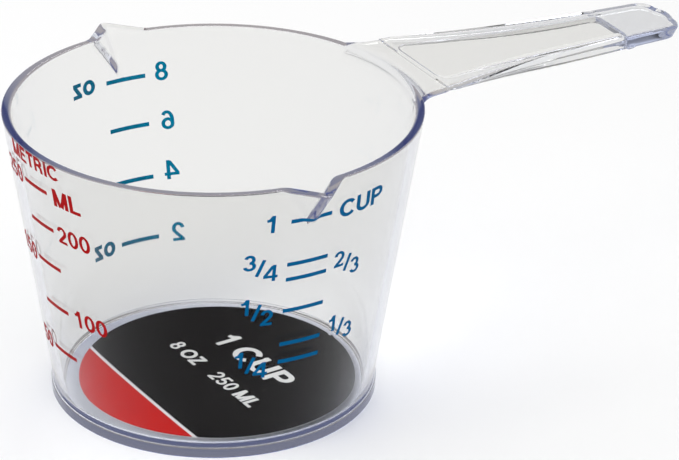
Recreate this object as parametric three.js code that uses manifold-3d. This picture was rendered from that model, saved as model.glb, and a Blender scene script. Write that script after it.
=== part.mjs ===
// A clear plastic measuring cup that holds one cup: a tapered bowl with two pour lips and a flat
// foot, a long hollowed handle, three printed scales and a round label on the inside of the floor.
// Sizes are in millimetres. +Z is up and the origin is on the bowl's axis, on the plane that the
// cup stands on. The handle points along +X and the pour lips point along -Y and +Y.
import * as THREE from 'three';
import { ConvexGeometry } from 'three/addons/geometries/ConvexGeometry.js';
import { mergeVertices } from 'three/addons/utils/BufferGeometryUtils.js';
import Module from 'manifold-3d';

// Driving dimensions of the bowl. The wall's radii are those of its outside, and the base radius
// is the one that the straight wall would reach on the table.
const rimRadius = 45.5;
const baseRadius = 35.15;
const bowlHeight = 66.7;
const wall = 2.0;
const floorThickness = 2.8;
const floorCornerRadius = 2.0;
const footRadius = 36.0;
const footHeight = 2.4;
const footChamfer = 0.4;

// Driving dimensions of the pour lips. Their angles are measured from the handle: they aren't
// quite opposite each other.
const lipAngles = [-90.2, 91.5];
const lipReach = 6.6;
const lipHalfAngle = 8.2;
const lipDepth = 9.7;
const lipNoseWidth = 1.2;
const lipInsideReach = 1.15;

// Driving dimensions of the handle. Its width is given where it leaves the rim, where the flare
// ends, at a pulling point between and near the tip. Places are distances from the bowl's axis.
// Just outside the rim its top steps up. From that step on it droops, and it is deepest halfway.
const handleRootWidth = 34.0;
const handleFlareWidth = 30.4;
const handleFlareEnd = 52.5;
const handleWaistWidth = 19.2;
const handleWaistPlace = 76.0;
const handleTipWidth = 16.7;
const handleLength = 117.2;
const handleTipCorner = 5.0;
const handleTipBulge = 0.8;
const handleStepPlace = 49.4;
const handleStepHeight = 0.3;
const handleDroopDegrees = 0.76;
const handleDepthAtStep = 1.3;
const handleDeepestPlace = 85.0;
const handleDepthAtDeepest = 3.35;
const handleDepthAtTip = 2.9;
const handlePlate = 1.0;
const handleSideWall = 1.9;
const hollowStart = 50.6;
const hollowRootWidth = 20.6;
const hollowRootCorner = 3.0;
const hollowEnd = 102.2;
const hollowEndWidth = 13.8;
const hollowEndCorner = 2.5;
const ejectorNibRadius = 1.2;
const ejectorNibHeight = 0.35;
const ejectorNibPlace = 101.8;

// Driving dimensions of the label and of the printed marks. The label's margin is what a centred
// label would leave round it on the flat of the floor. The stripe's distance is from the label's
// own middle, in the direction that is given for it.
const labelMargin = 1.05;
const labelOffset = new THREE.Vector2(0.45, -0.8);
const labelThickness = 0.12;
const labelInkThickness = 0.08;
const labelStripeOffset = 19.5;
const labelStripeWidth = 0.9;
const labelStripeDegrees = 183;
const markHeight = 0.95;
const markThickness = 0.12;

// Clearances. Pieces that touch on the real cup stand this far apart here.
const jointGap = 0.3;
const printGap = 0.08;

// How finely round shapes are cut into flats.
const bowlSides = 96;
const floorCornerSteps = 5;
const handleCurveSteps = 10;
const nibSides = 16;
const labelEdgeSteps = 48;

// Volumes in millilitres, and how each scale was set down on the cup: a print may sit a little
// high or low, and may be a little stretched, against the true filling heights.
const millilitresPerCup = 236.588;
const millilitresPerOunce = 29.5735;
const scales = [
  {
    name: 'cup',
    centreDegrees: -90.0,
    markLength: 9.6,
    lift: 6.28,
    stretch: 0.943,
    colour: 0x006c9c,
    marks: [
      { label: '1_4', volume: millilitresPerCup / 4 },
      { label: '1_3', volume: millilitresPerCup / 3 },
      { label: '1_2', volume: millilitresPerCup / 2 },
      { label: '2_3', volume: (millilitresPerCup * 2) / 3 },
      { label: '3_4', volume: (millilitresPerCup * 3) / 4 },
      { label: '1', volume: millilitresPerCup },
    ],
  },
  {
    name: 'metric',
    centreDegrees: -174.9,
    markLength: 9.0,
    lift: 1.59,
    stretch: 0.983,
    colour: 0xb01018,
    marks: [50, 100, 150, 200, 250].map((volume) => ({ label: `${volume}`, volume })),
  },
  {
    name: 'ounce',
    centreDegrees: 89.2,
    markLength: 9.3,
    lift: 0.24,
    stretch: 1.0,
    colour: 0x00708f,
    marks: [2, 4, 6, 8].map((count) => ({ label: `${count}`, volume: count * millilitresPerOunce })),
  },
];

// Small helpers for angles and for the tapered wall.
const degrees = Math.PI / 180;
const taper = (rimRadius - baseRadius) / bowlHeight;
const wallAcross = wall * Math.hypot(1, taper);
const outerRadius = (z) => baseRadius + taper * z;
const innerRadius = (z) => outerRadius(z) - wallAcross;

const wasm = await Module();
wasm.setup();

// Turns a closed three.js geometry into a solid that can be joined and cut.
function solidOf(geometry) {
  const bare = geometry.clone();
  bare.deleteAttribute('normal');
  bare.deleteAttribute('uv');
  const merged = mergeVertices(bare, 1e-5);
  const vertProperties = new Float32Array(merged.attributes.position.array);
  const triVerts = new Uint32Array(merged.index.array);
  return new wasm.Manifold(new wasm.Mesh({ numProp: 3, vertProperties, triVerts }));
}

// Turns a solid back into a geometry.
function geometryOf(solid) {
  const mesh = solid.getMesh();
  const geometry = new THREE.BufferGeometry();
  geometry.setAttribute('position', new THREE.BufferAttribute(mesh.vertProperties, 3));
  geometry.setIndex(new THREE.BufferAttribute(mesh.triVerts, 1));
  geometry.computeVertexNormals();
  return geometry;
}

// A lathe body about +Z from [radius, z] pairs that run anticlockwise in the half plane.
function latheAboutZ(profile) {
  const points = profile.map(([radius, z]) => new THREE.Vector2(radius, z));
  return new THREE.LatheGeometry(points, bowlSides).rotateX(90 * degrees);
}

// Points of a quarter round from one angle to another, as [radius, z] pairs.
function roundCorner(centreRadius, centreZ, radius, from, to, steps) {
  return Array.from({ length: steps + 1 }, (_, i) => {
    const angle = (from + ((to - from) * i) / steps) * degrees;
    return [centreRadius + radius * Math.cos(angle), centreZ + radius * Math.sin(angle)];
  });
}

// The bowl's outside: foot, step above the foot and straight tapered wall. It can be swollen by a
// clearance, and carried on above the rim, for cutting what stands against it.
function bowlOutside(swell = 0, extraHeight = 0) {
  const top = bowlHeight + extraHeight;
  return solidOf(
    latheAboutZ([
      [0, -swell],
      [footRadius - footChamfer + swell, -swell],
      [footRadius + swell, footChamfer],
      [footRadius + swell, footHeight],
      [outerRadius(footHeight) + swell, footHeight],
      [outerRadius(top) + swell, top],
      [0, top],
    ]),
  );
}

// The space inside the bowl. The flat of the floor ends where the rounded corner to the wall
// begins.
const cornerZ = floorThickness + floorCornerRadius;
const floorFlatRadius = innerRadius(cornerZ) - floorCornerRadius * Math.hypot(1, taper);

function bowlInside() {
  const lean = Math.atan(taper) / degrees;
  const top = bowlHeight + jointGap;
  return solidOf(
    latheAboutZ([
      [0, floorThickness],
      ...roundCorner(floorFlatRadius, cornerZ, floorCornerRadius, -90, -lean, floorCornerSteps),
      [innerRadius(top), top],
      [0, top],
    ]),
  );
}

// The planes of a pour lip meet along its nose. The form is swollen or shrunk by moving it along
// its own nose until its sides have moved by the given amount. The lip's inside is the form shrunk
// by the wall, drawn out to reach into the bowl and raised to cut through the rim.
function lipForm(swell, drawnOut = 1, raise = 0) {
  const rimZ = bowlHeight;
  const half = lipHalfAngle * degrees;
  const tip = new THREE.Vector3(rimRadius + lipReach, 0, rimZ);
  const foot = new THREE.Vector3(outerRadius(rimZ - lipDepth), 0, rimZ - lipDepth);
  const junction = new THREE.Vector3(rimRadius * Math.cos(half), rimRadius * Math.sin(half), rimZ);
  const side = new THREE.Plane().setFromCoplanarPoints(tip, foot, junction);
  const shift = new THREE.Vector3(swell / Math.abs(side.normal.x), 0, 0);
  const reach = (point) => tip.clone().lerp(point, drawnOut).add(shift);
  const corners = [];
  for (const hand of [-1, 1]) {
    const nose = new THREE.Vector3(0, (hand * lipNoseWidth) / 2, 0);
    const mirror = new THREE.Vector3(1, hand, 1);
    const top = reach(tip).add(nose);
    const edge = reach(junction).multiply(mirror).add(nose);
    const back = new THREE.Vector3(edge.x - wall, edge.y, rimZ);
    for (const point of [top, edge, back]) {
      corners.push(point, point.clone().setZ(rimZ + raise));
    }
  }
  const low = reach(foot);
  corners.push(low, new THREE.Vector3(low.x - wall, 0, low.z));
  return new ConvexGeometry(corners);
}

// Both lips' forms, turned to their places on the rim.
function lipsAround(...form) {
  return lipAngles.map((angle) => solidOf(lipForm(...form).rotateZ(angle * degrees)));
}

// The bowl's outside with its lips, swollen by a clearance.
function cupOutside(swell = 0) {
  let solid = bowlOutside(swell);
  for (const lip of lipsAround(swell)) {
    solid = solid.add(lip);
  }
  return solid;
}

function makeBowl() {
  let solid = cupOutside().subtract(bowlInside());
  for (const lip of lipsAround(-wall, lipInsideReach, wall)) {
    solid = solid.subtract(lip);
  }
  return geometryOf(solid);
}

// The handle's top is level up to its step and droops beyond it. Its underside falls away from the
// top as far as the deepest place, and comes back a little from there to the tip.
const droop = Math.tan(handleDroopDegrees * degrees);
const deepen = (handleDepthAtDeepest - handleDepthAtStep) / (handleDeepestPlace - handleStepPlace);
const recover = (handleDepthAtDeepest - handleDepthAtTip) / (handleLength - handleDeepestPlace);
const beyondStep = (x) => Math.max(0, x - handleStepPlace);
const handleTop = (x) => bowlHeight + handleStepHeight - droop * beyondStep(x);
const rootBottom = (x) => handleTop(x) - handleDepthAtStep - deepen * beyondStep(x);
const tipBottom = (x) => handleTop(x) - handleDepthAtDeepest + recover * (x - handleDeepestPlace);
const handleBottom = (x) => Math.max(rootBottom(x), tipBottom(x));

// Stands a flat outline up between two planes that depend on x.
function slabBetween(shape, lower, upper) {
  const geometry = new THREE.ExtrudeGeometry(shape, {
    depth: 1,
    bevelEnabled: false,
    curveSegments: handleCurveSteps,
  });
  const position = geometry.attributes.position;
  for (let i = 0; i < position.count; i += 1) {
    const x = position.getX(i);
    position.setZ(i, position.getZ(i) > 0.5 ? upper(x) : lower(x));
  }
  return geometry;
}

// The handle's outline seen from above: flared at the rim, waisted, with a rounded square tip
// whose end bulges a little.
function handleOutline() {
  const root = handleRootWidth / 2;
  const flare = handleFlareWidth / 2;
  const waist = handleWaistWidth / 2;
  const tip = handleTipWidth / 2;
  const rootPlace = Math.sqrt(rimRadius ** 2 - root ** 2);
  const flarePull = (rootPlace + handleFlareEnd) / 2;
  const endPlace = handleLength - handleTipBulge;
  const tipPlace = endPlace - handleTipCorner;
  const shape = new THREE.Shape();
  shape.moveTo(rootPlace - wall, -root);
  shape.lineTo(rootPlace, -root);
  shape.quadraticCurveTo(flarePull, -flare, handleFlareEnd, -flare);
  shape.quadraticCurveTo(handleWaistPlace, -waist, tipPlace, -tip);
  shape.quadraticCurveTo(endPlace, -tip, endPlace, -tip + handleTipCorner);
  shape.quadraticCurveTo(handleLength + handleTipBulge, 0, endPlace, tip - handleTipCorner);
  shape.quadraticCurveTo(endPlace, tip, tipPlace, tip);
  shape.quadraticCurveTo(handleWaistPlace, waist, handleFlareEnd, flare);
  shape.quadraticCurveTo(flarePull, flare, rootPlace, root);
  shape.lineTo(rootPlace - wall, root);
  shape.closePath();
  return shape;
}

// The hollow under the handle runs along inside the side walls. Its root and its end are straight,
// with small rounded corners.
function hollowOutline() {
  const root = hollowRootWidth / 2;
  const waist = handleWaistWidth / 2 - handleSideWall;
  const end = hollowEndWidth / 2;
  const cornerPlace = hollowStart + hollowRootCorner;
  const endPlace = hollowEnd - hollowEndCorner;
  const shape = new THREE.Shape();
  shape.moveTo(hollowStart, -root + hollowRootCorner);
  shape.quadraticCurveTo(hollowStart, -root, cornerPlace, -root);
  shape.quadraticCurveTo(handleWaistPlace, -waist, endPlace, -end);
  shape.quadraticCurveTo(hollowEnd, -end, hollowEnd, -end + hollowEndCorner);
  shape.lineTo(hollowEnd, end - hollowEndCorner);
  shape.quadraticCurveTo(hollowEnd, end, endPlace, end);
  shape.quadraticCurveTo(handleWaistPlace, waist, cornerPlace, root);
  shape.quadraticCurveTo(hollowStart, root, hollowStart, root - hollowRootCorner);
  shape.closePath();
  return shape;
}

// A nib left by the mould on the lower edge of each side wall.
function ejectorNib(hand) {
  const bottom = handleBottom(ejectorNibPlace);
  const height = ejectorNibHeight + handlePlate;
  const across = hand * (handleTipWidth / 2 - ejectorNibRadius);
  return new THREE.CylinderGeometry(ejectorNibRadius, ejectorNibRadius, height, nibSides)
    .rotateX(90 * degrees)
    .translate(ejectorNibPlace, across, bottom - ejectorNibHeight + height / 2);
}

// The block that is taken off the handle's root, so that it is level with the rim there.
function rootStep() {
  const block = new THREE.BoxGeometry(handleStepPlace, handleRootWidth + 2 * wall, handleStepHeight + wall);
  return block.translate(handleStepPlace / 2, 0, bowlHeight + (handleStepHeight + wall) / 2);
}

function makeHandle() {
  const plateUnderside = (x) => handleTop(x) - handlePlate;
  const below = (x) => handleBottom(x) - wall;
  let solid = solidOf(slabBetween(handleOutline(), rootBottom, handleTop));
  solid = solid.intersect(solidOf(slabBetween(handleOutline(), tipBottom, handleTop)));
  solid = solid.subtract(solidOf(slabBetween(hollowOutline(), below, plateUnderside)));
  solid = solid.subtract(solidOf(rootStep()));
  for (const hand of [-1, 1]) {
    solid = solid.add(solidOf(ejectorNib(hand)));
  }
  solid = solid.subtract(bowlOutside(jointGap, wall));
  return geometryOf(solid);
}

// The label lies on the floor, a little off the middle. A straight white stripe parts its red side
// from its black side.
const labelRadius = floorFlatRadius - labelMargin;
const labelZ = floorThickness + printGap;
const labelInkZ = labelZ + labelThickness + printGap;

function makeLabelStock() {
  return new THREE.CylinderGeometry(labelRadius, labelRadius, labelThickness, bowlSides)
    .rotateX(90 * degrees)
    .translate(labelOffset.x, labelOffset.y, labelZ + labelThickness / 2);
}

// One side of the label's print: the part of the disc beyond a chord at some distance from the
// middle, on the side that the given direction points to.
function makeLabelInk(chordDistance, directionDegrees) {
  const half = Math.acos(chordDistance / labelRadius);
  const shape = new THREE.Shape();
  shape.absarc(0, 0, labelRadius, -half, half, false);
  shape.closePath();
  return new THREE.ExtrudeGeometry(shape, {
    depth: labelInkThickness,
    bevelEnabled: false,
    curveSegments: labelEdgeSteps,
  })
    .rotateZ(directionDegrees * degrees)
    .translate(labelOffset.x, labelOffset.y, labelInkZ);
}

// The height that a volume reaches in the tapered bowl, by halving the interval.
function fillHeight(volume) {
  const volumeTo = (z) => {
    const r0 = innerRadius(floorThickness);
    const r1 = innerRadius(z);
    return (Math.PI * (z - floorThickness) * (r0 * r0 + r0 * r1 + r1 * r1)) / 3;
  };
  const cubicMillimetres = volume * 1000;
  const closeEnough = 1e-6;
  let low = floorThickness;
  let high = bowlHeight * 2;
  while (high - low > closeEnough) {
    const middle = (low + high) / 2;
    if (volumeTo(middle) < cubicMillimetres) {
      low = middle;
    } else {
      high = middle;
    }
  }
  return low;
}

// A printed line is cut from a thin skin that follows the outside of the wall and of the lips.
const printSkin = cupOutside(printGap + markThickness).subtract(cupOutside(printGap));

function makeMark(scale, volume) {
  const z = scale.lift + scale.stretch * fillHeight(volume);
  const throughSkin = 2 * lipReach;
  const bar = new THREE.BoxGeometry(throughSkin, scale.markLength, markHeight)
    .translate(outerRadius(z), 0, z)
    .rotateZ(scale.centreDegrees * degrees);
  return geometryOf(printSkin.intersect(solidOf(bar)));
}

const clearPlastic = { color: 0xdfe3e6, roughness: 0.08, metalness: 0 };
const cup = new THREE.Group();

function addPiece(name, geometry, finish) {
  const mesh = new THREE.Mesh(geometry, new THREE.MeshStandardMaterial(finish));
  mesh.name = name;
  cup.add(mesh);
}

addPiece('bowl', makeBowl(), clearPlastic);
addPiece('handle', makeHandle(), clearPlastic);
addPiece('label_stock', makeLabelStock(), { color: 0xf2f2ee, roughness: 0.5, metalness: 0 });
addPiece(
  'label_black_print',
  makeLabelInk(-labelStripeOffset + labelStripeWidth / 2, labelStripeDegrees + 180),
  { color: 0x0b0b0c, roughness: 0.35, metalness: 0 },
);
addPiece(
  'label_red_print',
  makeLabelInk(labelStripeOffset + labelStripeWidth / 2, labelStripeDegrees),
  { color: 0xc8141c, roughness: 0.35, metalness: 0 },
);
for (const scale of scales) {
  for (const mark of scale.marks) {
    addPiece(`${scale.name}_mark_${mark.label}`, makeMark(scale, mark.volume), {
      color: scale.colour,
      roughness: 0.4,
      metalness: 0,
    });
  }
}

export default cup;
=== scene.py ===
"""A clear plastic one-cup measure: two pour lips, a long handle, three printed scales and a label.

Lengths are in millimetres, and are turned to metres where a mesh is made. The studio's are in
metres. +Z is up, the handle points along +X, and the cup stands on the plane through the origin.
"""

import math

import bmesh
import bpy
from mathutils import Matrix, Vector
from mathutils.geometry import delaunay_2d_cdt


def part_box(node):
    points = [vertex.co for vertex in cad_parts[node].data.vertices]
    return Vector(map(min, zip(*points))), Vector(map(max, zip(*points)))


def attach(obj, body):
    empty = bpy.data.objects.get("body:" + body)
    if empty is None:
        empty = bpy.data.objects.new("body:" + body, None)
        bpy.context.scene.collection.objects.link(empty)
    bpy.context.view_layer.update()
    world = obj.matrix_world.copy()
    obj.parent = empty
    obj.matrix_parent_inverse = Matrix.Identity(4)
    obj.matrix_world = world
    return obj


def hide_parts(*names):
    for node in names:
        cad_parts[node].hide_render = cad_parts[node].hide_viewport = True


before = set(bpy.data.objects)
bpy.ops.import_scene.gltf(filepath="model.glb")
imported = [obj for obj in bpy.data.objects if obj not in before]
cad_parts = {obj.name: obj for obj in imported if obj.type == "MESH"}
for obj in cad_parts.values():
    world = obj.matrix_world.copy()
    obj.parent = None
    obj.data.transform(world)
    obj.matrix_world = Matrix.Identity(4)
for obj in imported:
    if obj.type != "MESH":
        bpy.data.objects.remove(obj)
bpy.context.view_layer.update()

# The bowl: a tapered round wall on a low foot, with a rounded rim and two folded pour lips.
# It is clear styrene plastic, moulded in one shot with the handle, so both become one mesh below.
# Its section runs from the middle of the floor over the rim to the middle of the underside.
MM = 0.001


def node_box(name):
    """Lowest and highest corner of a CAD node, in millimetres."""
    return [[value / MM for value in corner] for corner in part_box(name)]


bowl_low, bowl_high = node_box("bowl")
rim_height = bowl_high[2]
rim_radius = -bowl_low[0]
base_radius = 35.15
wall = 2.0
floor_top = 2.8
floor_corner = 1.0
foot_radius = 36.0
foot_height = 2.4
foot_edge = 0.4
rim_edge = 0.35
rim_inner_edge = 0.6
root_edge = 1.1
root_edge_turn = math.radians(3)
taper = (rim_radius - base_radius) / rim_height
wall_across = wall * math.hypot(1, taper)
floor_shares = (0.3, 0.6, 0.9, 0.99)
underside_shares = (0.975, 0.9, 0.6, 0.3)
corner_steps = 8
inside_steps = 8
inside_lip_steps = 26
outside_steps = 10
outside_lip_steps = 14
foot_seam = 0.03
foot_top_steps = 4
foot_low_steps = 5

lip_angles = [math.radians(-90.2), math.radians(91.5)]
lip_reach = -bowl_low[1] - rim_radius
lip_half_angle = math.radians(8.2)
lip_depth = 9.7
lip_nose_width = 1.2
lip_nose_softness = 0.5
lip_crease_softness = 0.9
lip_blend_span = 3 * lip_half_angle
nose_span = math.radians(2)
lip_span = math.radians(12)
nose_step = 0.2
lip_step = 0.45
wall_step = 1.6

handle_root_width = 34.0
root_turn = math.asin(handle_root_width / 2 / rim_radius)
root_columns = 12
root_crowding = 1.35
edge_steps = 5
low_edge_steps = 4
low_edge_share = 0.8
side_steps = 4
handle_depth_at_step = 1.3
root_fillet = 2.5
root_depth = handle_depth_at_step + root_fillet
handle_low_edge = 0.5


def soft_max(a, b, softness):
    """The larger of two lengths, with a rounded change from one to the other."""
    near = max(softness - abs(a - b), 0) / softness
    return max(a, b) + near * near * softness / 4


def soft_min(a, b, softness):
    """The smaller of two lengths, with a rounded change from one to the other."""
    return -soft_max(-a, -b, softness)


def cone_radius(z):
    """Radius of the wall's outside, away from the lips."""
    return base_radius + taper * z


def lip_faces():
    """Normals and distances of the side face and the nose of a lip that points along +X."""
    tip = Vector((rim_radius + lip_reach, 0, rim_height))
    foot = Vector((cone_radius(rim_height - lip_depth), 0, rim_height - lip_depth))
    junction = Vector(
        (rim_radius * math.cos(lip_half_angle), rim_radius * math.sin(lip_half_angle), rim_height)
    )
    side = (foot - tip).cross(junction - tip).normalized()
    if side.x < 0:
        side.negate()
    nose = Vector((tip.z - foot.z, 0, foot.x - tip.x)).normalized()
    return (side, side.dot(tip) + side.y * lip_nose_width / 2), (nose, nose.dot(tip))


(side_normal, side_distance), (nose_normal, nose_distance) = lip_faces()


def lip_radius(turn, z, inset):
    """Distance from the axis to a lip's faces, moved in by inset, at an angle from its nose."""
    across = side_normal.x * math.cos(turn) + side_normal.y * abs(math.sin(turn))
    side = (side_distance - inset - side_normal.z * z) / across
    nose = (nose_distance - inset - nose_normal.z * z) / (nose_normal.x * math.cos(turn))
    return soft_min(side, nose, lip_nose_softness)


def wall_radius(angle, z, inside=False):
    """Radius of the wall's outside or inside, with the lips."""
    radius = cone_radius(z) - (wall_across if inside else 0)
    for lip_angle in lip_angles:
        turn = (angle - lip_angle + math.pi) % (2 * math.pi) - math.pi
        if abs(turn) < lip_blend_span:
            lip = lip_radius(turn, z, wall if inside else 0)
            radius = soft_max(radius, lip, lip_crease_softness)
    return radius


def between(low, high, count):
    """Evenly spaced values from low to high, without low."""
    return [low + (high - low) * (i + 1) / count for i in range(count)]


def quarter(count):
    """Evenly spaced angles of a quarter turn, without 0."""
    return [share * math.pi / 2 for share in between(0, 1, count)]


def edge_row(share, radius):
    """Inset and drop of a rounded upper edge, from its top at share 0 to its side at share 1."""
    a = share * math.pi / 2
    return radius * (1 - math.sin(a)), radius * (1 - math.cos(a))


def side_rows(depth, shoulder, draft, low_edge):
    """Insets and drops down a side: rounded shoulder, drafted side and rounded lower edge."""
    rows = [edge_row(i / edge_steps, shoulder) for i in range(edge_steps + 1)]
    low = min(low_edge, (depth - shoulder) * low_edge_share)
    for share in between(0, 1, side_steps):
        rows.append((draft * share, shoulder + (depth - low - shoulder) * share))
    for a in quarter(low_edge_steps):
        rows.append((draft + low * (1 - math.cos(a)), depth - low * (1 - math.sin(a))))
    return rows


def bowl_section(angle):
    """Points of the bowl's section at an angle, as (radius, z) pairs, without its two poles."""
    corner_z = floor_top + floor_corner
    floor_flat = cone_radius(corner_z) - wall_across - floor_corner * math.hypot(1, taper)
    lean = math.atan(taper)
    points = [(floor_flat * share, floor_top) for share in floor_shares]
    for share in [0] + between(0, 1, corner_steps):
        a = -math.pi / 2 + (math.pi / 2 - lean) * share
        out, up = floor_corner * math.cos(a), floor_corner * math.sin(a)
        points.append((floor_flat + out, corner_z + up))
    turn = abs((angle + math.pi) % (2 * math.pi) - math.pi)
    into_root = min(max((root_turn - turn) / root_edge_turn, 0), 1)
    edge = rim_inner_edge + (root_edge - rim_inner_edge) * into_root
    lip_foot = rim_height - lip_depth - wall
    heights = between(corner_z, lip_foot, inside_steps)
    heights += between(lip_foot, rim_height - edge, inside_lip_steps)
    points += [(wall_radius(angle, z, inside=True), z) for z in heights]
    for share in between(1, 0, edge_steps):
        inset, drop = edge_row(share, edge)
        z = rim_height - drop
        points.append((wall_radius(angle, z, inside=True) + inset, z))
    return points


def bowl_outside(angle):
    """Points down the outside, from the rim's flat to the underside."""
    points = []
    for row, (inset, drop) in enumerate(side_rows(root_depth, rim_edge, 0, handle_low_edge)):
        z = rim_height - drop
        points.append((wall_radius(angle, z) - (inset if row <= edge_steps else 0), z))
    root_low = rim_height - root_depth
    lip_foot = rim_height - lip_depth - 1
    step_top = foot_height + foot_edge / 2
    heights = between(root_low, lip_foot, outside_lip_steps)
    heights += between(lip_foot, step_top, outside_steps)
    points += [(wall_radius(angle, z), z) for z in heights]
    points.append((cone_radius(step_top) + 2 * foot_seam, foot_height + foot_seam))
    points.append((foot_radius - foot_edge / 2, foot_height))
    for a in quarter(foot_top_steps):
        inset, drop = foot_edge / 2 * (1 - math.sin(a)), foot_edge / 2 * (1 - math.cos(a))
        points.append((foot_radius - inset, foot_height - drop))
    for a in [0] + quarter(foot_low_steps):
        points.append((foot_radius - foot_edge * (1 - math.cos(a)), foot_edge * (1 - math.sin(a))))
    points += [(foot_radius * share, 0) for share in underside_shares]
    return points


def root_share(i):
    """Place of a column across the handle, from -1 to 1, with the outermost ones close together."""
    share = i / root_columns
    return math.copysign(1 - (1 - abs(share)) ** root_crowding, share)


def column_angles():
    """The columns' angles: the handle's root first, then the rest, close together at the lips."""
    angles = [root_turn * root_share(i) for i in range(-root_columns, root_columns + 1)]
    steps = []
    angle = root_turn
    end = 2 * math.pi - root_turn
    while angle < end:
        turn = min(abs((angle - lip + math.pi) % (2 * math.pi) - math.pi) for lip in lip_angles)
        step = nose_step if turn < nose_span else lip_step if turn < lip_span else wall_step
        steps.append(math.radians(step))
        angle += steps[-1]
    fit = (end - root_turn) / sum(steps)
    angle = root_turn
    for step in steps[:-1]:
        angle += step * fit
        angles.append(angle)
    return angles


shell = bmesh.new()
angles = column_angles()
columns = []
for angle in angles:
    section = bowl_section(angle)
    rim_row = len(section)
    columns.append(
        [
            shell.verts.new((radius * math.cos(angle), radius * math.sin(angle), z))
            for radius, z in section + bowl_outside(angle)
        ]
    )
root_rows = edge_steps + 1 + side_steps + low_edge_steps
for c, column in enumerate(columns):
    following = columns[(c + 1) % len(columns)]
    in_root = c < 2 * root_columns
    for row in range(len(column) - 1):
        if in_root and rim_row <= row < rim_row + root_rows - 1:
            continue
        shell.faces.new((column[row], following[row], following[row + 1], column[row + 1]))
for row, z in ((0, floor_top), (-1, 0)):
    pole = shell.verts.new((0, 0, z))
    for c, column in enumerate(columns):
        shell.faces.new((pole, column[row], columns[(c + 1) % len(columns)][row]))

# The handle: a flat plate, level with the rim at first, that steps up, droops a little and has
# turned-down sides round a shallow hollow. Same clear plastic, and one body with the bowl.
# Its top, sides, bottom ring and hollow are each a grid, sewn along their shared edges.
handle_length, _, handle_highest = node_box("handle")[1]
step_height = handle_highest - rim_height
step_place = 49.4
step_run = 0.3
droop = math.tan(math.radians(0.76))
deepest_place = 85.0
deepest_depth = 3.35
deepest_softness = 0.8
depth_at_tip = 2.9
plate = 1.0
flare_width = 30.4
flare_end = 52.5
waist_width = 19.2
waist_place = 76.0
tip_width = 16.7
tip_corner = 5.0
tip_bulge = 0.8
shoulder_edge = 0.8
shoulder_run = 5
side_draft = 0.25
tip_draft = 0.9
side_wall = 1.9
hollow_start = 50.6
hollow_root_width = 20.6
hollow_corner = 3.0
hollow_fillet = 1.1
hollow_fillet_share = 0.6
hollow_low_edge = 0.3
hollow_draft = 0.1
hollow_edge_steps = 3
hollow_side_steps = 3
hollow_fillet_steps = 4
hollow_end = 102.2
hollow_end_width = 13.8
hollow_end_corner = 2.5
nib_place = 101.8
nib_across = 7.9
nib_radius = 1.3
nib_height = 0.35
nib_slope = 1.6
ring_shares = (0.06, 0.2, 0.4, 0.65, 0.9, 0.97, 1.0)
flare_places = (42.5, 42.9, 43.5, 44.3, 45.2, 46.2, 47.2, 48.2, 48.9)
step_shares = (-0.6, -0.4, -0.2, 0, 0.2, 0.4, 0.6)
after_step = (50.2, 51.0, 51.8)
station_gap = 1.6
main_stations = 30
end_stations = 5
tip_steps = 14


def smooth(value):
    """A step from 0 to 1 with rounded ends."""
    value = min(max(value, 0), 1)
    return value * value * (3 - 2 * value)


def handle_top(x):
    """Height of the handle's top."""
    step = step_height * smooth((x - step_place) / step_run + 0.5)
    return rim_height + step - droop * max(0, x - step_place)


def handle_bottom(x, y):
    """Height of the handle's bottom edge, with the fillet to the wall and the mould nibs."""
    beyond = max(0, x - step_place)
    level = rim_height + step_height * min(beyond, 1) - droop * beyond
    deepen = (deepest_depth - handle_depth_at_step) / (deepest_place - step_place)
    recover = (deepest_depth - depth_at_tip) / (handle_length - deepest_place)
    towards_tip = deepest_depth - recover * (x - deepest_place)
    depth = soft_min(handle_depth_at_step + deepen * beyond, towards_tip, deepest_softness)
    off_wall = min(max(math.hypot(x, y) - cone_radius(rim_height - root_depth), 0), root_fillet)
    fillet = root_fillet - math.sqrt(root_fillet**2 - (root_fillet - off_wall) ** 2)
    nib = math.hypot(x - nib_place, abs(y) - nib_across) / nib_radius
    return level - depth - fillet - nib_height * smooth(nib_slope - nib_slope * nib)


def pulled(a, b, c, t):
    """A value on a curve from a to c that is pulled towards b."""
    return (1 - t) ** 2 * a + 2 * t * (1 - t) * b + t * t * c


def pull_place(a, b, c, x):
    """Where on such a curve its value is x."""
    square, linear = a - 2 * b + c, 2 * (b - a)
    if abs(square) < 1e-9:
        return (x - a) / linear
    return (math.sqrt(linear**2 - 4 * square * (a - x)) - linear) / (2 * square)


root_place = math.sqrt(rim_radius**2 - (handle_root_width / 2) ** 2)
end_place = handle_length - tip_bulge
tip_start = end_place - tip_corner


def handle_outline():
    """Places and half widths along one side, from the wall round the tip's corner."""
    step_x = [step_place + step_run * share for share in step_shares]
    outline = []
    for x in (root_place, *flare_places, *step_x, *after_step):
        t = (x - root_place) / (flare_end - root_place)
        outline.append((x, pulled(handle_root_width / 2, flare_width / 2, flare_width / 2, t)))
    main_x = [flare_end + station_gap * i for i in range(main_stations)]
    main_x += [nib_place + nib_radius * i / 3 for i in range(-4, 5)]
    main_x += between(nib_place + nib_radius * 4 / 3, tip_start, end_stations)
    for x in sorted(main_x):
        t = pull_place(flare_end, waist_place, tip_start, x)
        outline.append((x, pulled(flare_width / 2, waist_width / 2, tip_width / 2, t)))
    for t in between(0, 1, tip_steps):
        x = pulled(tip_start, end_place, end_place, t)
        outline.append((x, pulled(tip_width / 2, tip_width / 2, tip_width / 2 - tip_corner, t)))
    return outline


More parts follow.
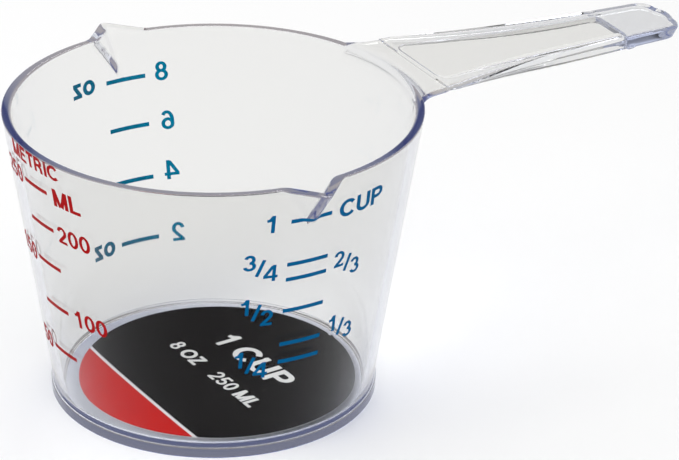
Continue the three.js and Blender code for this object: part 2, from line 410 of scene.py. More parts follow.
def hollow_outline(stations):
    """The hollow's places and half widths that stand opposite the stations of the outline."""
    end = hollow_end_width / 2
    root = hollow_root_width / 2
    waist = waist_width / 2 - side_wall
    corner_x = hollow_start + hollow_corner
    end_x = hollow_end - hollow_end_corner
    in_corner = [x for x, _ in stations if x < corner_x]
    in_end = [x for x, _ in stations if x > end_x]
    places = []
    for i in range(len(in_corner)):
        t = i / len(in_corner)
        x = pulled(hollow_start, hollow_start, corner_x, t)
        places.append((x, pulled(root - hollow_corner, root, root, t)))
    for x, _ in stations:
        if corner_x <= x <= end_x:
            t = pull_place(corner_x, waist_place, end_x, x)
            places.append((x, pulled(root, waist, end, t)))
    for t in between(0, 1, len(in_end)):
        x = pulled(end_x, hollow_end, hollow_end, t)
        places.append((x, pulled(end, end, end - hollow_end_corner, t)))
    return places


def loop_of(side, end, root):
    """A closed loop of plan points: one side, the end, the other side and the root."""
    left = [Vector((x, -half)) for x, half in side]
    right = [Vector((x, half)) for x, half in reversed(side)]
    return left + end + right + root


def normals_of(loop):
    """Unit vectors that point out of a closed anticlockwise loop of plan points."""
    normals = []
    for i, point in enumerate(loop):
        along = (loop[(i + 1) % len(loop)] - loop[i - 1]).normalized()
        normals.append(Vector((along.y, -along.x)))
    return normals


def row_of_verts(points):
    """Vertices for a list of (x, y, z) places."""
    return [shell.verts.new(point) for point in points]


def sew(first, second):
    """Faces between two rows of vertices."""
    for i in range(len(first) - 1):
        shell.faces.new((first[i], first[i + 1], second[i + 1], second[i]))


def cap(side_points, root_points, end_points, height):
    """A grid that fills a loop: straight across between its sides, bent to its root and end."""
    bend_end = step_place - 1
    first_x = side_points[0][0]
    at_wall = root_points[0].x < root_place
    rows = [root_points]
    for x, half in side_points[1:-1]:
        bent = max(0, 1 - (x - first_x) / (bend_end - first_x)) if at_wall else 0
        row = []
        for i in range(-root_columns, root_columns + 1):
            share = root_share(i)
            root_point = root_points[i + root_columns]
            bulge = root_point.x - root_points[0].x
            across = bent * root_point.y / root_points[-1].y + (1 - bent) * share
            row.append(Vector((x + bent * bulge, half * across)))
        rows.append(row)
    rows.append(end_points)
    verts = [row_of_verts([(p.x, p.y, height(p.x, p.y)) for p in row]) for row in rows]
    for first, second in zip(verts, verts[1:]):
        sew(first, second)


stations = handle_outline()
end_half = stations[-1][1]
inner_shares = [root_share(i) for i in range(-root_columns + 1, root_columns)]
outline = loop_of(
    stations,
    [Vector((end_place + tip_bulge * (1 - share**2), end_half * share)) for share in inner_shares],
    [],
)
outward = normals_of(outline)
outward[0] = outward[1]
outward[-1] = outward[-2]


def wall_point(side, drop, inset):
    """The point where the handle's edge row meets the wall, at one side of its root."""
    z = rim_height - drop
    radius = wall_radius(root_turn, z) - inset
    return Vector((radius * math.cos(root_turn), side * radius * math.sin(root_turn)))


blend_run = 3.0
root_side = side_rows(root_depth, rim_edge, 0, handle_low_edge)


def row_place(k, row, inset):
    """Plan place of a row of the side at a point of the outline, led onto the wall at the root."""
    point = outline[k]
    side, start = (-1, 0) if point.y < 0 else (1, -1)
    root_inset, root_drop = root_side[row]
    target = wall_point(side, root_drop, root_inset if 0 <= row <= edge_steps else 0)
    miss = target - (outline[start] - outward[start] * root_inset)
    fade = max(0, 1 - max(0, point.x - root_place) / blend_run) ** 2
    return point - outward[k] * inset + miss * fade


side_table = []
for k, point in enumerate(outline):
    run_in = smooth((point.x - root_place) / shoulder_run)
    in_tip = smooth((point.x - tip_start) / tip_corner)
    shoulder = rim_edge + (shoulder_edge - rim_edge) * run_in
    draft = side_draft * run_in + (tip_draft - side_draft) * in_tip
    top_place = row_place(k, 0, shoulder)
    low_place = row_place(k, -1, draft + handle_low_edge)
    top_z = handle_top(top_place.x)
    depth = top_z - handle_bottom(low_place.x, low_place.y)
    column = []
    for row, (inset, drop) in enumerate(side_rows(depth, shoulder, draft, handle_low_edge)):
        place = row_place(k, row, inset)
        column.append((place.x, place.y, top_z - drop))
    side_table.append(column)
side_verts = [row_of_verts(row) for row in zip(*side_table)]
for first, second in zip(side_verts, side_verts[1:]):
    sew(first, second)


def root_arc(drop, inset):
    """The handle's root line on the wall, at a drop from the rim."""
    z = rim_height - drop
    line = []
    for i in range(-root_columns, root_columns + 1):
        angle = root_turn * root_share(i)
        radius = wall_radius(angle, z) - inset
        line.append(Vector((radius * math.cos(angle), radius * math.sin(angle))))
    return line


top_line = [Vector(column[0][:2]) for column in side_table]
last = len(stations)
cap(
    [(p.x, -p.y) for p in top_line[:last]],
    root_arc(0, rim_edge),
    top_line[last - 1 : last + 2 * root_columns],
    lambda x, y: handle_top(x),
)

hollow_side = hollow_outline(stations)
hollow_loop = loop_of(
    hollow_side,
    [Vector((hollow_end, hollow_side[-1][1] * share)) for share in inner_shares],
    [Vector((hollow_start, -hollow_side[0][1] * share)) for share in inner_shares],
)
bottom_line = [Vector(column[-1][:2]) for column in side_table]
bottom_line += list(reversed(root_arc(root_depth, 0)[1:-1]))
rings = [bottom_line]
for share in ring_shares:
    rings.append([a.lerp(b, share) for a, b in zip(bottom_line, hollow_loop)])
ring_verts = [row_of_verts([(p.x, p.y, handle_bottom(p.x, p.y)) for p in ring]) for ring in rings]
for first, second in zip(ring_verts, ring_verts[1:]):
    sew(first + first[:1], second + second[:1])

hollow_outward = normals_of(hollow_loop)
hollow_table = []
for point, away in zip(hollow_loop, hollow_outward):
    bottom = handle_bottom(point.x, point.y)
    depth = handle_top(point.x) - plate - bottom
    low = min(hollow_low_edge, hollow_low_edge * depth)
    fillet = min(hollow_fillet, hollow_fillet_share * depth)
    draft = hollow_draft * depth
    rises = [(low * math.sin(a), low * (1 - math.cos(a))) for a in [0] + quarter(hollow_edge_steps)]
    for share in between(0, 1, hollow_side_steps):
        rises.append((low + draft * share, low + (depth - low - fillet) * share))
    for a in quarter(hollow_fillet_steps):
        rises.append((low + draft + fillet * (1 - math.cos(a)), depth - fillet * (1 - math.sin(a))))
    column = []
    for inset, rise in rises:
        column.append((point.x - away.x * inset, point.y - away.y * inset, bottom + rise))
    roof_x, roof_y = column[-1][:2]
    column[-1] = (roof_x, roof_y, handle_top(roof_x) - plate)
    hollow_table.append(column)
hollow_verts = [row_of_verts(row) for row in zip(*hollow_table)]
for first, second in zip(hollow_verts, hollow_verts[1:]):
    sew(first + first[:1], second + second[:1])
roof_line = [Vector(column[-1][:2]) for column in hollow_table]
roof_end = roof_line[last - 1 : last + 2 * root_columns]
root_count = len(inner_shares)
roof_root = [roof_line[0], *reversed(roof_line[-root_count:]), roof_line[-root_count - 1]]
cap(
    [(p.x, -p.y) for p in roof_line[:last]],
    roof_root,
    roof_end,
    lambda x, y: handle_top(x) - plate,
)

# The moulding as one piece: the bowl's and the handle's grids are merged along their shared lines.
# Clear styrene with a polished mould's finish, a little worn by handling, tinted where light runs
# along inside it. Past the last followed bounce it has a painted glow, an emission in place of the
# light carried inside it: one colour at the foot, one at the rim and a paler one along the handle.
# Faint flow lines from the moulding show as a slow waviness.
sharp_turn = math.radians(40)
weld = 0.004
last_bounce = 3.5


def piece_from(mesh_data, name):
    """An object at the origin for a finished mesh."""
    piece = bpy.data.objects.new(name, mesh_data)
    bpy.context.scene.collection.objects.link(piece)
    return piece


def finish_shell(grid, name):
    """Merges a grid in millimetres into a closed piece in metres, with its sharp lines marked."""
    bmesh.ops.remove_doubles(grid, verts=grid.verts, dist=weld)
    loose = [vert for vert in grid.verts if not vert.link_faces]
    bmesh.ops.delete(grid, geom=loose, context="VERTS")
    bmesh.ops.recalc_face_normals(grid, faces=grid.faces)
    for face in grid.faces:
        face.smooth = True
    for edge in grid.edges:
        edge.smooth = len(edge.link_faces) == 2 and edge.calc_face_angle() < sharp_turn
    open_edges = sum(1 for edge in grid.edges if len(edge.link_faces) != 2)
    print(name, "faces", len(grid.faces), "edges without two faces", open_edges)
    bmesh.ops.scale(grid, vec=(MM, MM, MM), verts=grid.verts)
    mesh_data = bpy.data.meshes.new(name)
    grid.to_mesh(mesh_data)
    grid.free()
    return piece_from(mesh_data, name)


moulding = finish_shell(shell, "clear_moulding")
even = moulding.modifiers.new("even_shading", "WEIGHTED_NORMAL")
even.keep_sharp = True


def add_nodes(tree, family, *kinds):
    """New nodes of the given kinds, all of one family."""
    return [tree.nodes.new(family + kind) for kind in kinds]


def fill(node, values):
    """Sets a node's inputs, given by name or number."""
    for name, value in values.items():
        node.inputs[name].default_value = value


def wire(tree, *links):
    """Links outputs to inputs, each link given as (node, output, node, input)."""
    for source, output, target, entry in links:
        tree.links.new(source.outputs[output], target.inputs[entry])


def wear_group():
    """Haze and fine scratches from handling, as a roughness."""
    tree = bpy.data.node_groups.new("handling_wear", "ShaderNodeTree")
    for name, value in (("Roughness", 0.1), ("Wear", 0.1), ("Size", 60.0)):
        socket = tree.interface.new_socket(name=name, in_out="INPUT", socket_type="NodeSocketFloat")
        socket.default_value = value
    tree.interface.new_socket(name="Roughness", in_out="OUTPUT", socket_type="NodeSocketFloat")
    given, result = add_nodes(tree, "NodeGroup", "Input", "Output")
    place, noise, levels, worn = add_nodes(
        tree, "ShaderNode", "TexCoord", "TexNoise", "MapRange", "Math"
    )
    fill(noise, {"Detail": 6, "Roughness": 0.65})
    fill(levels, {"From Min": 0.45, "From Max": 0.75})
    worn.operation = "MULTIPLY_ADD"
    wire(
        tree,
        (place, "Object", noise, "Vector"),
        (given, "Size", noise, "Scale"),
        (noise, "Fac", levels, "Value"),
        (levels, "Result", worn, 0),
        (given, "Wear", worn, 1),
        (given, "Roughness", worn, 2),
        (worn, "Value", result, "Roughness"),
    )
    return tree


handling_wear = wear_group()


def new_material(name):
    """A material with its tree, its main shader and its output."""
    material = bpy.data.materials.new(name)
    material.use_nodes = True
    tree = material.node_tree
    shader = tree.nodes["Principled BSDF"]
    return material, tree, shader, tree.nodes["Material Output"]


def worn_surface(tree, shader, roughness, wear, size):
    """Drives a shader's roughness from the handling wear."""
    node = tree.nodes.new("ShaderNodeGroup")
    node.node_tree = handling_wear
    fill(node, {"Roughness": roughness, "Wear": wear, "Size": size})
    wire(tree, (node, "Roughness", shader, "Roughness"))


def clear_plastic():
    """Clear plastic that lets lamps through. The renderer ends light that stays trapped in it, so
    past the last followed bounce it gives off a painted glow in that light's place: one colour at
    the foot, one at the rim, and a paler one along the handle."""
    material, tree, shader, output = new_material("clear_styrene")
    fill(
        shader,
        {
            "Base Color": (0.918, 0.908, 0.866, 1),
            "Transmission Weight": 1,
            "IOR": 1.58,
            "Specular Tint": (0.05, 0.05, 0.05, 1),
        },
    )
    worn_surface(tree, shader, 0.01, 0.03, 90)
    place, flow, bump = add_nodes(tree, "ShaderNode", "TexCoord", "TexNoise", "Bump")
    fill(flow, {"Scale": 45, "Detail": 1})
    fill(bump, {"Strength": 0.05, "Distance": 0.0004})
    rays, open_film, surface, painted_glow = add_nodes(
        tree, "ShaderNode", "LightPath", "BsdfTransparent", "MixShader", "Emission"
    )
    trapped, light, tint = add_nodes(tree, "ShaderNode", "Math", "MixShader", "VolumeAbsorption")
    # Painted glow: its colour goes from the foot's to the rim's with height, and to a paler one on
    # the handle.
    parts, height_share, glow = add_nodes(tree, "ShaderNode", "SeparateXYZ", "MapRange", "Mix")
    beyond_rim, painted_glow_colour = add_nodes(tree, "ShaderNode", "MapRange", "Mix")
    glow.data_type = painted_glow_colour.data_type = "RGBA"
    trapped.operation = "GREATER_THAN"
    fill(open_film, {"Color": (0.9, 0.9, 0.9, 1)})
    fill(trapped, {1: last_bounce})
    fill(height_share, {"From Min": foot_height * MM, "From Max": rim_height * MM})
    fill(glow, {"A": (0.6, 0.52, 0.37, 1), "B": (0.6, 0.53, 0.46, 1)})
    fill(beyond_rim, {"From Min": rim_radius * MM, "From Max": flare_end * MM})
    fill(painted_glow_colour, {"B": (0.8, 0.75, 0.62, 1)})
    fill(tint, {"Color": (0.25, 0.375, 0.8, 1), "Density": 40})
    wire(
        tree,
        (place, "Object", parts, "Vector"),
        (parts, "Z", height_share, "Value"),
        (parts, "X", beyond_rim, "Value"),
        (height_share, "Result", glow, "Factor"),
        (glow, "Result", painted_glow_colour, "A"),
        (beyond_rim, "Result", painted_glow_colour, "Factor"),
        (painted_glow_colour, "Result", painted_glow, "Color"),
        (place, "Object", flow, "Vector"),
        (flow, "Fac", bump, "Height"),
        (bump, "Normal", shader, "Normal"),
        # Past the last followed bounce the surface shows the painted glow instead of the plastic.
        (rays, "Glossy Depth", trapped, 0),
        (trapped, "Value", light, "Fac"),
        (shader, "BSDF", light, 1),
        (painted_glow, "Emission", light, 2),
        (rays, "Is Shadow Ray", surface, "Fac"),
        (light, "Shader", surface, 1),
        (open_film, "BSDF", surface, 2),
        (surface, "Shader", output, "Surface"),
        (tint, "Volume", output, "Volume"),
    )
    return material


moulding.data.materials.append(clear_plastic())
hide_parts("bowl", "handle")
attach(moulding, "root")

# The label: a round printed sticker on the inside of the floor, white film with a black and a red
# area that a white stripe parts. The film and the inked areas are the CAD nodes as they are. Its
# white lettering gives the three capacities, and a little dust lies on the inked areas.
label_middle = [(a + b) / 2 for a, b in zip(*node_box("label_stock"))]
print_top = node_box("label_black_print")[1][2]
lettering_thickness = 0.02
lettering_gap = 0.005
lettering_shift = 4.0
lettering_turn = math.radians(-86)


def printed_film(name, colour, roughness, dust):
    """Satin printed film with a fine grain, paler dust specks and slightly uneven colour."""
    material, tree, shader, _ = new_material(name)
    fill(shader, {"Specular IOR Level": 0.01})
    worn_surface(tree, shader, roughness, 0.03, 120)
    place, specks, few, shade, uneven, dusty = add_nodes(
        tree, "ShaderNode", "TexCoord", "TexVoronoi", "MapRange", "TexNoise", "Mix", "Mix"
    )
    darker = [c * 0.85 for c in colour]
    paler = [min(1, c * 1.1 + 0.002) for c in colour]
    uneven.data_type = dusty.data_type = "RGBA"
    fill(specks, {"Scale": 260})
    fill(few, {"From Min": 0.09, "From Max": 0.03, "To Max": dust})
    fill(shade, {"Scale": 30})
    fill(uneven, {"A": (*darker, 1), "B": (*paler, 1)})
    fill(dusty, {"B": (0.62, 0.62, 0.6, 1)})
    wire(
        tree,
        (place, "Object", specks, "Vector"),
        (place, "Object", shade, "Vector"),
        (specks, "Distance", few, "Value"),
        (shade, "Fac", uneven, "Factor"),
        (uneven, "Result", dusty, "A"),
        (few, "Result", dusty, "Factor"),
        (dusty, "Result", shader, "Base Color"),
    )
    return material


def refinish(node, material):
    """Gives a CAD node that stays its finish."""
    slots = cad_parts[node].data.materials
    slots.clear()
    slots.append(material)


refinish("label_stock", printed_film("label_film", (0.86, 0.86, 0.84), 0.4, 0.0))
refinish("label_black_print", printed_film("black_label_ink", (0.002, 0.001, 0.001), 0.35, 0.15))
refinish("label_red_print", printed_film("red_label_ink", (0.6, 0.003, 0.002), 0.35, 0.15))


arc_step = 9


def arc(x, y, across, up, start, end):
    """Points along a part of an ellipse, from one angle to another in degrees."""
    count = max(4, round(abs(end - start) / arc_step))
    turns = [math.radians(start + (end - start) * i / count) for i in range(count + 1)]
    return [(x + across * math.cos(a), y + up * math.sin(a)) for a in turns]


# Each sign is its width and the middle lines of its strokes, for a height of 1. The bars are the
# heights of level strokes at its foot and top. Figures are drawn with a lighter pen than letters.
pen_across = 0.245
pen_up = 0.195
figure_pen = 0.8
sharpest_mitre = 0.6
figures = "0123456789/"
low_bar = 0.0875
top_bar = 0.9125
signs = {
    " ": (0.36, []),
    "0": (0.78, [arc(0.39, 0.5, 0.25, 0.41, 0, 360)]),
    "1": (0.78, [[(0.46, 0), (0.46, 1)], [(0.13, 0.71), (0.3, 0.74), (0.42, 0.92)]]),
    "2": (
        0.78,
        [
            arc(0.38, 0.67, 0.24, 0.243, 175, -35) + [(0.4, 0.34), (0.24, 0.2), (0.17, 0.09)],
            [(0.06, low_bar), (0.69, low_bar)],
        ],
    ),
    "3": (0.78, [arc(0.37, 0.7, 0.21, 0.213, 165, -90), arc(0.38, 0.3, 0.25, 0.213, 90, -165)]),
    "4": (0.8, [[(0.57, 0), (0.57, 1)], [(0.0, 0.28), (0.78, 0.28)], [(0.07, 0.3), (0.5, 0.93)]]),
    "5": (
        0.78,
        [
            [(0.67, top_bar), (0.17, top_bar)],
            [(0.23, 0.93), (0.16, 0.46)],
            arc(0.38, 0.325, 0.25, 0.238, 150, -160),
        ],
    ),
    "6": (
        0.78,
        [
            arc(0.39, 0.315, 0.245, 0.228, 0, 360),
            arc(0.42, 0.5, 0.27, 0.41, 40, 180) + [(0.145, 0.32)],
        ],
    ),
    "8": (0.78, [arc(0.39, 0.715, 0.2, 0.197, 0, 360), arc(0.39, 0.305, 0.245, 0.218, 0, 360)]),
    "/": (0.42, [[(0.03, 0), (0.39, 1)]]),
    "C": (1.05, [arc(0.55, 0.5, 0.42, 0.41, 40, 320)]),
    "E": (
        0.92,
        [
            [(0.18, 0), (0.18, 1)],
            [(0.18, low_bar), (0.8, low_bar)],
            [(0.18, 0.52), (0.74, 0.52)],
            [(0.18, top_bar), (0.79, top_bar)],
        ],
    ),
    "I": (0.4, [[(0.2, 0), (0.2, 1)]]),
    "L": (0.84, [[(0.18, 1), (0.18, 0)], [(0.18, low_bar), (0.77, low_bar)]]),
    "M": (
        1.16,
        [
            [(0.17, 0), (0.17, 1)],
            [(0.99, 0), (0.99, 1)],
            [(0.2, 0.96), (0.53, 0.04)],
            [(0.63, 0.04), (0.96, 0.96)],
        ],
    ),
    "O": (1.08, [arc(0.54, 0.5, 0.41, 0.41, 0, 360)]),
    "P": (
        1.0,
        [
            [(0.18, 0), (0.18, 1)],
            [(0.18, top_bar)] + arc(0.54, 0.69, 0.27, 0.2225, 90, -90) + [(0.18, 0.4675)],
        ],
    ),
    "R": (
        1.0,
        [
            [(0.18, 0), (0.18, 1)],
            [(0.18, top_bar)] + arc(0.52, 0.7, 0.24, 0.2125, 90, -90) + [(0.18, 0.4875)],
            [(0.55, 0.48), (0.74, 0.33), (0.8, 0)],
        ],
    ),
    "T": (0.85, [[(0.03, top_bar), (0.82, top_bar)], [(0.425, 0), (0.425, 0.95)]]),
    "U": (1.07, [[(0.19, 1)] + arc(0.535, 0.36, 0.345, 0.27, 180, 360) + [(0.88, 1)]]),
    "Z": (
        0.86,
        [
            [(0.09, top_bar), (0.77, top_bar)],
            [(0.06, low_bar), (0.8, low_bar)],
            [(0.66, 0.9), (0.18, 0.1)],
        ],
    ),
    "o": (0.86, [arc(0.43, 0.37, 0.27, 0.28, 0, 360)]),
    "z": (
        0.72,
        [
            [(0.07, 0.65), (0.62, 0.65)],
            [(0.05, low_bar), (0.65, low_bar)],
            [(0.53, 0.63), (0.17, 0.11)],
        ],
    ),
}


def stroke_quads(points, pen):
    """Four-cornered pieces of a pen stroke, wider across than up, with mitred bends."""
    closed = math.dist(points[0], points[-1]) < 1e-6
    sides = []
    for i, (x, y) in enumerate(points):
        before = points[i - 1] if i else points[-2] if closed else None
        after = points[i + 1] if i + 1 < len(points) else points[1] if closed else None
        headings = []
        for a, b in ((before, (x, y)), ((x, y), after)):
            if a and b:
                run = math.dist(a, b)
                headings.append(((b[0] - a[0]) / run, (b[1] - a[1]) / run))
        along = Vector([sum(h[j] for h in headings) for j in (0, 1)]).normalized()
        mitre = pen / max(sharpest_mitre, along.dot(Vector(headings[0])))
        shift = (-along.y * pen_across / 2 * mitre, along.x * pen_up / 2 * mitre)
        sides.append(((x + shift[0], y + shift[1]), (x - shift[0], y - shift[1])))
    return [(a[1], b[1], b[0], a[0]) for a, b in zip(sides, sides[1:])]


def sign_outline(strokes, pen):
    """A sign's flat faces: its strokes, drawn anticlockwise, as one shape with no overlaps."""
    points, faces = [], []
    for stroke in strokes:
        for quad in stroke_quads(stroke, pen):
            faces.append(tuple(range(len(points), len(points) + 4)))
            points += [Vector(corner) for corner in quad]
    if not points:
        return [], []
    merged = delaunay_2d_cdt(points, [], faces, 1, 1e-5, True)
    return merged[0], [face for face, sources in zip(merged[2], merged[5]) if sources]


def add_words(grid, words):
    """Adds words to a flat grid, each as (text, x, y, height of a capital), centred there."""
    for text, x, y, size in words:
        start = x - sum(signs[sign][0] for sign in text) * size / 2
        for sign in text:
            width, strokes = signs[sign]
            points, faces = sign_outline(strokes, figure_pen if sign in figures else 1)
            verts = [
                grid.verts.new((start + p.x * size, y + (p.y - 0.5) * size, 0)) for p in points
            ]
            for face in faces:
                grid.faces.new([verts[i] for i in face])
            start += width * size


lettering = bmesh.new()
add_words(
    lettering,
    [
        ("1 CUP", 0, 5.5, 6.4),
        ("8 OZ", -10.5, -5.5, 3.8),
        ("250 ML", 9.5, -5.5, 3.8),
    ],
)
raised = bmesh.ops.extrude_face_region(lettering, geom=list(lettering.faces))
for item in raised["geom"]:
    if isinstance(item, bmesh.types.BMVert):
        item.co.z += lettering_thickness
bmesh.ops.recalc_face_normals(lettering, faces=lettering.faces)
turn = Matrix.Rotation(lettering_turn, 4, "Z")
lettering_x, lettering_z = label_middle[0] + lettering_shift, print_top + lettering_gap
place = Matrix.Translation((lettering_x, label_middle[1], lettering_z))
bmesh.ops.transform(lettering, matrix=Matrix.Scale(MM, 4) @ place @ turn, verts=lettering.verts)
lettering_data = bpy.data.meshes.new("label_lettering")
lettering.to_mesh(lettering_data)
lettering.free()
label_lettering = piece_from(lettering_data, "label_lettering")
white_ink = printed_film("white_label_ink", (0.82, 0.82, 0.8), 0.35, 0.0)
label_lettering.data.materials.append(white_ink)
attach(label_lettering, "root")

# The scales: lines, numbers and unit names, screen-printed in ink on the outside of the wall.
# Each is drawn flat and then laid on the moulding, bent round the wall and over the lips.
# The ounce scale is on the far wall and reads mirrored through it.
ink_gap = 0.03
ink_thickness = 0.04
ink_weld = 0.001
strip_width = 0.5
line_height = 0.95
number_height = 4.2
ounce_height = 4.5
fraction_height = 4.0
fraction_rise = 1.5
fraction_spread = 2.35


def print_tree():
    """Lays flat artwork on the outside of the wall and gives it the ink's thickness."""
    tree = bpy.data.node_groups.new("print_on_wall", "GeometryNodeTree")
    kinds = {"Geometry": "Geometry", "Wall": "Object", "Ink": "Material"}
    for name in ("Angle", "Height", "Base Radius", "Taper", "Gap", "Ink Thickness"):
        kinds[name] = "Float"
    for name, kind in kinds.items():
        tree.interface.new_socket(name=name, in_out="INPUT", socket_type="NodeSocket" + kind)
    tree.interface.new_socket(name="Geometry", in_out="OUTPUT", socket_type="NodeSocketGeometry")
    given, result = add_nodes(tree, "NodeGroup", "Input", "Output")
    flat, info, ray = add_nodes(tree, "GeometryNode", "InputPosition", "ObjectInfo", "Raycast")
    parts, away, start = add_nodes(tree, "ShaderNode", "SeparateXYZ", "CombineXYZ", "CombineXYZ")
    link = tree.links.new

    def sums(operation, *values):
        node = tree.nodes.new("ShaderNodeMath")
        node.operation = operation
        for socket, value in zip(node.inputs, values):
            if isinstance(value, (int, float)):
                socket.default_value = value
            else:
                link(value, socket)
        return node.outputs["Value"]

    def vectors(operation, *values):
        node = tree.nodes.new("ShaderNodeVectorMath")
        node.operation = operation
        for name, value in zip(("Vector", "Vector_001"), values):
            link(value, next(s for s in node.inputs if s.identifier == name))
        return node

    wire(tree, (flat, "Position", parts, "Vector"))
    z = sums("ADD", given.outputs["Height"], parts.outputs["Y"])
    radius = sums("MULTIPLY_ADD", given.outputs["Taper"], z, given.outputs["Base Radius"])
    angle = sums("ADD", given.outputs["Angle"], sums("DIVIDE", parts.outputs["X"], radius))
    cosine, sine = sums("COSINE", angle), sums("SINE", angle)
    link(cosine, away.inputs["X"])
    link(sine, away.inputs["Y"])
    far = sums("MULTIPLY", radius, 2)
    link(sums("MULTIPLY", cosine, far), start.inputs["X"])
    link(sums("MULTIPLY", sine, far), start.inputs["Y"])
    link(z, start.inputs["Z"])
    inward = vectors("SCALE", away.outputs["Vector"])
    lifted = vectors("SCALE", away.outputs["Vector"])
    fill(inward, {"Scale": -1})
    fill(ray, {"Ray Length": 1})
    wire(
        tree,
        (given, "Wall", info, "Object"),
        (info, "Geometry", ray, "Target Geometry"),
        (start, "Vector", ray, "Source Position"),
        (inward, "Vector", ray, "Ray Direction"),
        (given, "Gap", lifted, "Scale"),
    )
    landed = vectors("ADD", ray.outputs["Hit Position"], lifted.outputs["Vector"])
    lay, thicken, back, both, weld_edges, real, inked = add_nodes(
        tree,
        "GeometryNode",
        "SetPosition",
        "ExtrudeMesh",
        "FlipFaces",
        "JoinGeometry",
        "MergeByDistance",
        "RealizeInstances",
        "SetMaterial",
    )
    fill(thicken, {"Individual": False})
    fill(weld_edges, {"Distance": ink_weld * MM})
    wire(
        tree,
        (given, "Geometry", lay, "Geometry"),
        (landed, "Vector", lay, "Position"),
        (lay, "Geometry", thicken, "Mesh"),
        (away, "Vector", thicken, "Offset"),
        (given, "Ink Thickness", thicken, "Offset Scale"),
        (lay, "Geometry", back, "Mesh"),
        (thicken, "Mesh", both, "Geometry"),
        (back, "Mesh", both, "Geometry"),
        (both, "Geometry", weld_edges, "Geometry"),
        (weld_edges, "Geometry", real, "Geometry"),
        (real, "Geometry", inked, "Geometry"),
        (given, "Ink", inked, "Material"),
        (inked, "Geometry", result, "Geometry"),
    )
    return tree


print_on_wall = print_tree()


def set_inputs(modifier, values):
    """Sets a tree's inputs by their names, through the sockets' identifiers."""
    for item in modifier.node_group.interface.items_tree:
        if item.in_out == "INPUT" and item.name in values:
            modifier[item.identifier] = values[item.name]


def screen_print(grid, name, ink, angle, height):
    """Lays a flat grid in millimetres on the wall at an angle and height, as a finished piece."""
    reach = max(abs(vert.co.x) for vert in grid.verts)
    cuts = int(reach / strip_width)
    for i in range(-cuts, cuts + 1):
        geometry = [*grid.verts, *grid.edges, *grid.faces]
        cut = (i * strip_width, 0, 0)
        bmesh.ops.bisect_plane(grid, geom=geometry, plane_co=cut, plane_no=(1, 0, 0))
    bmesh.ops.scale(grid, vec=(MM, MM, MM), verts=grid.verts)
    flat = bpy.data.meshes.new(name + "_flat")
    grid.to_mesh(flat)
    grid.free()
    source = piece_from(flat, name + "_flat")
    modifier = source.modifiers.new("print_on_wall", "NODES")
    modifier.node_group = print_on_wall
    set_inputs(
        modifier,
        {
            "Wall": moulding,
            "Ink": ink,
            "Angle": math.radians(angle),
            "Height": height * MM,
            "Base Radius": base_radius * MM,
            "Taper": taper,
            "Gap": ink_gap * MM,
            "Ink Thickness": ink_thickness * MM,
        },
    )
    graph = bpy.context.evaluated_depsgraph_get()
    mesh_data = bpy.data.meshes.new_from_object(source.evaluated_get(graph))
    bpy.data.objects.remove(source)
    mesh_data.name = name
    return piece_from(mesh_data, name)


def screen_ink(name, colour):
    """Opaque screen ink with a faint mesh grain and a slightly uneven coat."""
    material, tree, shader, _ = new_material(name)
    fill(shader, {"Specular IOR Level": 0.03})
    worn_surface(tree, shader, 0.4, 0.2, 300)
    place, coat, mix = add_nodes(tree, "ShaderNode", "TexCoord", "TexNoise", "Mix")
    thin, thick = [c * 0.86 for c in colour], [c * 1.14 for c in colour]
    mix.data_type = "RGBA"
    fill(coat, {"Scale": 700})
    fill(mix, {"A": (*thin, 1), "B": (*thick, 1)})
    wire(
        tree,
        (place, "Object", coat, "Vector"),
        (coat, "Fac", mix, "Factor"),
        (mix, "Result", shader, "Base Color"),
    )
    return material


def mark_height(node):
    """Height of a scale's line, from its CAD node."""
    low, high = node_box(node)
    return (low[2] + high[2]) / 2


def laid_out(text, x, z, size=number_height):
    """A word in one line, or a fraction: raised numerator, slash and lowered denominator."""
    over, slash, under = text.partition("/")
    if not slash:
        return [(text, x, z, size)]
    return [
        (over, x - fraction_spread, z + fraction_rise, fraction_height),
        (slash, x, z, fraction_height),
        (under, x + fraction_spread, z - fraction_rise, fraction_height),
    ]


def print_scale(scale, ink, angle, line_length, marks, words):
    """Prints one scale: a line for each mark, and its words as one piece. A word is its text, its
    place across, its mark, its rise above that mark and, where it isn't the usual one, its size."""
    pieces, heights = [], {}
    half = line_length / 2
    corners = [(-half, -1), (half, -1), (half, 1), (-half, 1)]
    for mark in marks:
        node = f"{scale}_mark_{mark}"
        heights[mark] = mark_height(node)
        strip = bmesh.new()
        strip.faces.new([strip.verts.new((x, y * line_height / 2, 0)) for x, y in corners])
        line = screen_print(strip, f"{scale}_line_{mark}", ink, angle, heights[mark])
        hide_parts(node)
        pieces.append(line)
    art = bmesh.new()
    for text, x, mark, rise, *size in words:
        add_words(art, laid_out(text, x, heights[mark] + rise, *size))
    pieces.append(screen_print(art, f"{scale}_numbers", ink, angle, 0))
    for piece in pieces:
        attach(piece, "root")


print_scale(
    "cup",
    screen_ink("blue_screen_ink", (0.0, 0.115, 0.29)),
    -90.0,
    9.6,
    ("1_4", "1_3", "1_2", "2_3", "3_4", "1"),
    [
        ("1", -9.0, "1", 0),
        ("CUP", 13.3, "1", 0),
        ("3/4", -10.6, "3_4", 0),
        ("2/3", 10.5, "2_3", 0.28),
        ("1/2", -10.6, "1_2", 0.48),
        ("1/3", 10.5, "1_3", 0.24),
        ("1/4", -10.9, "1_4", 0),
    ],
)
print_scale(
    "metric",
    screen_ink("red_screen_ink", (0.33, 0.003, 0.004)),
    -174.9,
    9.0,
    (50, 100, 150, 200, 250),
    [
        ("METRIC", 0.3, 250, 6.1, 3.5),
        ("ML", 10.6, 250, 0),
        ("250", -10.6, 250, 0),
        ("200", 10.7, 200, 0),
        ("150", -10.6, 150, 0),
        ("100", 11.2, 100, 0),
        ("50", -9.2, 50, 0),
    ],
)
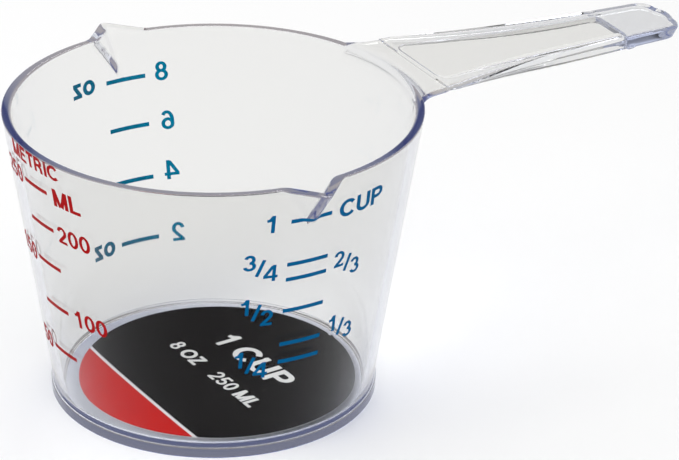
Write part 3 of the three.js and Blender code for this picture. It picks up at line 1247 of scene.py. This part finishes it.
print_scale(
    "ounce",
    screen_ink("teal_screen_ink", (0.0, 0.33, 0.55)),
    90.1,
    10.0,
    (2, 4, 6, 8),
    [
        ("8", -8.9, 8, 0.62, ounce_height),
        ("oz", 11.55, 8, 0.9, ounce_height),
        ("6", -9.5, 6, 0.43, ounce_height),
        ("4", -9.5, 4, 1.1, ounce_height),
        ("2", -9.8, 2, 0.6, ounce_height),
        ("oz", 10.3, 2, 0.6, ounce_height),
    ],
)

# The studio: a plain pale floor, an even white surround that is dimmer overhead, two soft lamps
# and a long-lens camera at the photograph's angle. None of it is part of the cup.
floor_size = 3.0
floor_drop = 0.00002
camera_azimuth = math.radians(-29.5)
camera_elevation = math.radians(25.9)
camera_roll = math.radians(0.856)
camera_distance = 0.7956
camera_target = Vector((0.02337, -0.01322, 0.0377))
camera_shift = (0.0041, -0.0025)
camera_reach = 20
focal_length_pixels = 3647.1
image_width_pixels = 679
sensor_width = 36.0

bpy.ops.mesh.primitive_plane_add(size=floor_size, location=(0, 0, -floor_drop))
studio_floor = bpy.context.object
studio_floor.name = "studio_floor"
floor_material, _, floor_shader, _ = new_material("studio_paper")
floor_finish = {"Base Color": (0.9, 0.9, 0.9, 1), "Roughness": 0.9, "Specular IOR Level": 0.1}
fill(floor_shader, floor_finish)
studio_floor.data.materials.append(floor_material)


def soft_lamp(name, place, size, power):
    """A square soft lamp that points at the cup."""
    lamp = bpy.data.lights.new(name, "AREA")
    lamp.size = size
    lamp.energy = power
    holder = bpy.data.objects.new(name, lamp)
    holder.location = place
    holder.rotation_euler = (camera_target - Vector(place)).to_track_quat("-Z", "Y").to_euler()
    bpy.context.scene.collection.objects.link(holder)


soft_lamp("lamp_left", (-0.55, -0.15, 0.75), 0.5, 4.5)
soft_lamp("lamp_right", (0.5, 0.55, 0.8), 0.4, 2.5)

world = bpy.data.worlds.new("studio_surround")
world.use_nodes = True
bpy.context.scene.world = world
sky = world.node_tree
background = sky.nodes["Background"]
direction, split, dimmer = add_nodes(sky, "ShaderNode", "TexCoord", "SeparateXYZ", "MapRange")
rays, seen, level, clear = add_nodes(sky, "ShaderNode", "LightPath", "Math", "Mix", "Mix")
seen.operation = "MAXIMUM"
fill(dimmer, {"From Min": 0.0, "From Max": 0.6, "To Min": 1.0, "To Max": 0.04})
fill(level, {"A": 0.62})
fill(clear, {"B": 1.0})
fill(background, {"Color": (1, 1, 1, 1)})
wire(
    sky,
    (direction, "Generated", split, "Vector"),
    (split, "Z", dimmer, "Value"),
    (rays, "Is Glossy Ray", seen, 0),
    (rays, "Is Transmission Ray", seen, 1),
    (seen, "Value", level, "Factor"),
    (dimmer, "Result", level, "B"),
    (rays, "Is Camera Ray", clear, "Factor"),
    (level, "Result", clear, "A"),
    (clear, "Result", background, "Strength"),
)

camera_data = bpy.data.cameras.new("camera")
camera_data.sensor_width = sensor_width
camera_data.lens = focal_length_pixels / image_width_pixels * sensor_width
camera_data.shift_x, camera_data.shift_y = camera_shift
camera_data.clip_end = camera_reach
camera = bpy.data.objects.new("camera", camera_data)
turned = (
    Matrix.Rotation(camera_azimuth, 4, "Z")
    @ Matrix.Rotation(math.pi / 2 - camera_elevation, 4, "X")
    @ Matrix.Rotation(camera_roll, 4, "Z")
)
back = turned.to_3x3() @ Vector((0, 0, 1))
camera.matrix_world = Matrix.Translation(camera_target + back * camera_distance) @ turned
bpy.context.scene.collection.objects.link(camera)
bpy.context.scene.camera = camera
bpy.context.scene.view_settings.view_transform = "Standard"
